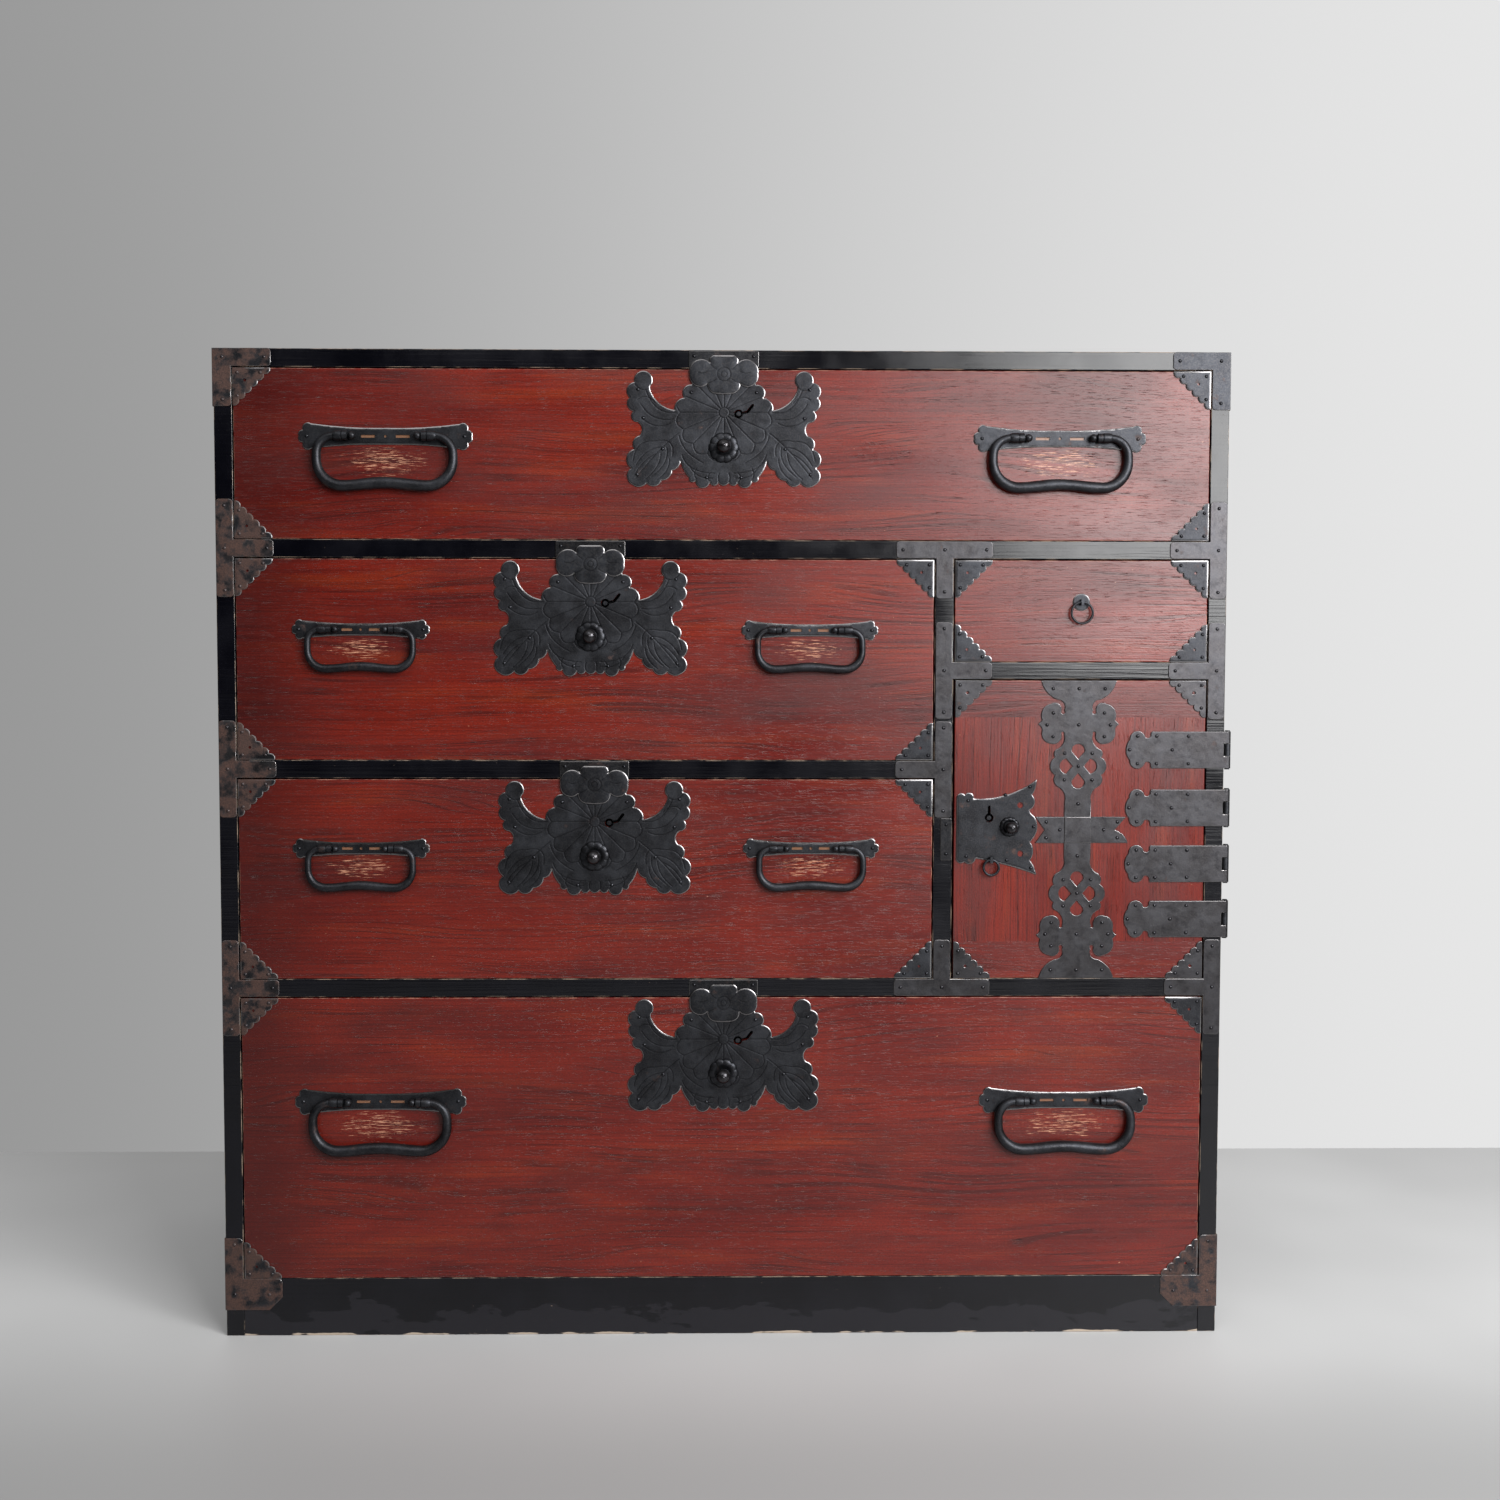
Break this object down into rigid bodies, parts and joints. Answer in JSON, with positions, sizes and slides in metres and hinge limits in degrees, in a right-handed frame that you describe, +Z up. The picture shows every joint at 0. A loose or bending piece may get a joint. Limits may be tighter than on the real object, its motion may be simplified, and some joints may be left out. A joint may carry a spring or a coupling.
{
  "type": "clothing chest",
  "caption": "Japanese clothing chest with wide lacquered drawers, a small drawer and a door, iron lock plates, bails and strap hinges.",
  "frame": {"origin": "on the floor, below the middle of the case's front face", "axes": "+X to the right as seen from the front, +Y from the front to the back, +Z up"},
  "size_m": [1.0694, 0.463, 1.044],
  "materials": {
    "red_lacquered_wood": "wiped lacquer over open grain, semi-gloss",
    "black_lacquered_wood": "black lacquer, semi-gloss, worn edges",
    "plain_wood": "planed, unfinished",
    "forged_iron": "forged and blackened",
    "worn_iron": "blackened iron with brown rust",
    "polished_iron": "forged, smooth from handling"
  },
  "bodies": {
    "case": {"case_top": "black_lacquered_wood", "case_left_side": "black_lacquered_wood", "case_right_side": "black_lacquered_wood", "case_bottom": "plain_wood", "base_rail": "black_lacquered_wood", "case_back": "plain_wood", "shelf_upper": "black_lacquered_wood", "shelf_lower": "black_lacquered_wood", "shelf_middle_left": "black_lacquered_wood", "shelf_middle_right": "black_lacquered_wood", "divider": "black_lacquered_wood", "case_corner_plates": "worn_iron", "case_tee_plates": "forged_iron", "lock_strikes": "forged_iron", "door_hinge_leaves": "forged_iron", "door_hinge_pins": "forged_iron"},
    "top_drawer": {"top_drawer_front": "red_lacquered_wood", "top_drawer_box": "plain_wood", "top_drawer_fittings": "forged_iron", "top_drawer_lock": "forged_iron"},
    "top_drawer_knob": {"top_drawer_knob": "polished_iron"},
    "top_drawer_bolt": {"top_drawer_bolt": "forged_iron"},
    "top_drawer_bail_left": {"top_drawer_bail_left": "polished_iron"},
    "top_drawer_bail_right": {"top_drawer_bail_right": "polished_iron"},
    "second_drawer": {"second_drawer_front": "red_lacquered_wood", "second_drawer_box": "plain_wood", "second_drawer_fittings": "forged_iron", "second_drawer_lock": "forged_iron"},
    "second_drawer_knob": {"second_drawer_knob": "polished_iron"},
    "second_drawer_bolt": {"second_drawer_bolt": "forged_iron"},
    "second_drawer_bail_left": {"second_drawer_bail_left": "polished_iron"},
    "second_drawer_bail_right": {"second_drawer_bail_right": "polished_iron"},
    "third_drawer": {"third_drawer_front": "red_lacquered_wood", "third_drawer_box": "plain_wood", "third_drawer_fittings": "forged_iron", "third_drawer_lock": "forged_iron"},
    "third_drawer_knob": {"third_drawer_knob": "polished_iron"},
    "third_drawer_bolt": {"third_drawer_bolt": "forged_iron"},
    "third_drawer_bail_left": {"third_drawer_bail_left": "polished_iron"},
    "third_drawer_bail_right": {"third_drawer_bail_right": "polished_iron"},
    "bottom_drawer": {"bottom_drawer_front": "red_lacquered_wood", "bottom_drawer_box": "plain_wood", "bottom_drawer_fittings": "forged_iron", "bottom_drawer_lock": "forged_iron"},
    "bottom_drawer_knob": {"bottom_drawer_knob": "polished_iron"},
    "bottom_drawer_bolt": {"bottom_drawer_bolt": "forged_iron"},
    "bottom_drawer_bail_left": {"bottom_drawer_bail_left": "polished_iron"},
    "bottom_drawer_bail_right": {"bottom_drawer_bail_right": "polished_iron"},
    "small_drawer": {"small_drawer_front": "red_lacquered_wood", "small_drawer_box": "plain_wood", "small_drawer_fittings": "forged_iron"},
    "small_drawer_ring": {"small_drawer_ring": "polished_iron"},
    "door": {"door_panel": "red_lacquered_wood", "door_straps": "forged_iron", "door_hinge_straps": "forged_iron", "door_lock_plate": "forged_iron"},
    "door_knob": {"door_knob": "polished_iron"},
    "door_bolt": {"door_bolt": "forged_iron"},
    "door_ring": {"door_ring": "polished_iron"}
  },
  "joints": [
    {"name": "top_drawer_slide", "type": "slide", "parent": "case", "child": "top_drawer", "axis": [0, -1, 0], "range_m": [0, 0.36]},
    {"name": "top_drawer_knob_push", "type": "slide", "parent": "top_drawer", "child": "top_drawer_knob", "axis": [0, 1, 0], "range_m": [0, 0.004]},
    {"name": "top_drawer_bolt_lift", "type": "slide", "parent": "top_drawer", "child": "top_drawer_bolt", "axis": [0, 0, 1], "range_m": [0, 0.006]},
    {"name": "top_drawer_bail_left_swing", "type": "hinge", "parent": "top_drawer", "child": "top_drawer_bail_left", "pos_m": [-0.352, -0.0063, 0.9535], "axis": [-1, 0, 0], "range_deg": [0, 100]},
    {"name": "top_drawer_bail_right_swing", "type": "hinge", "parent": "top_drawer", "child": "top_drawer_bail_right", "pos_m": [0.352, -0.0063, 0.9535], "axis": [-1, 0, 0], "range_deg": [0, 100]},
    {"name": "second_drawer_slide", "type": "slide", "parent": "case", "child": "second_drawer", "axis": [0, -1, 0], "range_m": [0, 0.36]},
    {"name": "second_drawer_knob_push", "type": "slide", "parent": "second_drawer", "child": "second_drawer_knob", "axis": [0, 1, 0], "range_m": [0, 0.004]},
    {"name": "second_drawer_bolt_lift", "type": "slide", "parent": "second_drawer", "child": "second_drawer_bolt", "axis": [0, 0, 1], "range_m": [0, 0.006]},
    {"name": "second_drawer_bail_left_swing", "type": "hinge", "parent": "second_drawer", "child": "second_drawer_bail_left", "pos_m": [-0.3795, -0.0056, 0.753], "axis": [-1, 0, 0], "range_deg": [0, 100]},
    {"name": "second_drawer_bail_right_swing", "type": "hinge", "parent": "second_drawer", "child": "second_drawer_bail_right", "pos_m": [0.0905, -0.0056, 0.753], "axis": [-1, 0, 0], "range_deg": [0, 100]},
    {"name": "third_drawer_slide", "type": "slide", "parent": "case", "child": "third_drawer", "axis": [0, -1, 0], "range_m": [0, 0.36]},
    {"name": "third_drawer_knob_push", "type": "slide", "parent": "third_drawer", "child": "third_drawer_knob", "axis": [0, 1, 0], "range_m": [0, 0.004]},
    {"name": "third_drawer_bolt_lift", "type": "slide", "parent": "third_drawer", "child": "third_drawer_bolt", "axis": [0, 0, 1], "range_m": [0, 0.006]},
    {"name": "third_drawer_bail_left_swing", "type": "hinge", "parent": "third_drawer", "child": "third_drawer_bail_left", "pos_m": [-0.3815, -0.0056, 0.523], "axis": [-1, 0, 0], "range_deg": [0, 100]},
    {"name": "third_drawer_bail_right_swing", "type": "hinge", "parent": "third_drawer", "child": "third_drawer_bail_right", "pos_m": [0.0925, -0.0056, 0.523], "axis": [-1, 0, 0], "range_deg": [0, 100]},
    {"name": "bottom_drawer_slide", "type": "slide", "parent": "case", "child": "bottom_drawer", "axis": [0, -1, 0], "range_m": [0, 0.36]},
    {"name": "bottom_drawer_knob_push", "type": "slide", "parent": "bottom_drawer", "child": "bottom_drawer_knob", "axis": [0, 1, 0], "range_m": [0, 0.004]},
    {"name": "bottom_drawer_bolt_lift", "type": "slide", "parent": "bottom_drawer", "child": "bottom_drawer_bolt", "axis": [0, 0, 1], "range_m": [0, 0.006]},
    {"name": "bottom_drawer_bail_left_swing", "type": "hinge", "parent": "bottom_drawer", "child": "bottom_drawer_bail_left", "pos_m": [-0.3635, -0.0063, 0.253], "axis": [-1, 0, 0], "range_deg": [0, 100]},
    {"name": "bottom_drawer_bail_right_swing", "type": "hinge", "parent": "bottom_drawer", "child": "bottom_drawer_bail_right", "pos_m": [0.3635, -0.0063, 0.253], "axis": [-1, 0, 0], "range_deg": [0, 100]},
    {"name": "small_drawer_slide", "type": "slide", "parent": "case", "child": "small_drawer", "axis": [0, -1, 0], "range_m": [0, 0.36]},
    {"name": "small_drawer_ring_swing", "type": "hinge", "parent": "small_drawer", "child": "small_drawer_ring", "pos_m": [0.3765, -0.0052, 0.783], "axis": [-1, 0, 0], "range_deg": [0, 100]},
    {"name": "door_hinge", "type": "hinge", "parent": "case", "child": "door", "pos_m": [0.5338, 0.0019, 0.5426], "axis": [0, 0, 1], "range_deg": [0, 225]},
    {"name": "door_knob_push", "type": "slide", "parent": "door", "child": "door_knob", "axis": [0, 1, 0], "range_m": [0, 0.004]},
    {"name": "door_bolt_throw", "type": "slide", "parent": "door", "child": "door_bolt", "axis": [-1, 0, 0], "range_m": [0, 0.006]},
    {"name": "door_ring_swing", "type": "hinge", "parent": "door", "child": "door_ring", "pos_m": [0.283, -0.0052, 0.511], "axis": [-1, 0, 0], "range_deg": [0, 100]}
  ],
  "couplings": [
    {"joint": "top_drawer_bolt_lift", "follows": "top_drawer_knob_push", "ratio": 1.5},
    {"joint": "second_drawer_bolt_lift", "follows": "second_drawer_knob_push", "ratio": 1.5},
    {"joint": "third_drawer_bolt_lift", "follows": "third_drawer_knob_push", "ratio": 1.5},
    {"joint": "bottom_drawer_bolt_lift", "follows": "bottom_drawer_knob_push", "ratio": 1.5},
    {"joint": "door_bolt_throw", "follows": "door_knob_push", "ratio": 1.5}
  ]
}
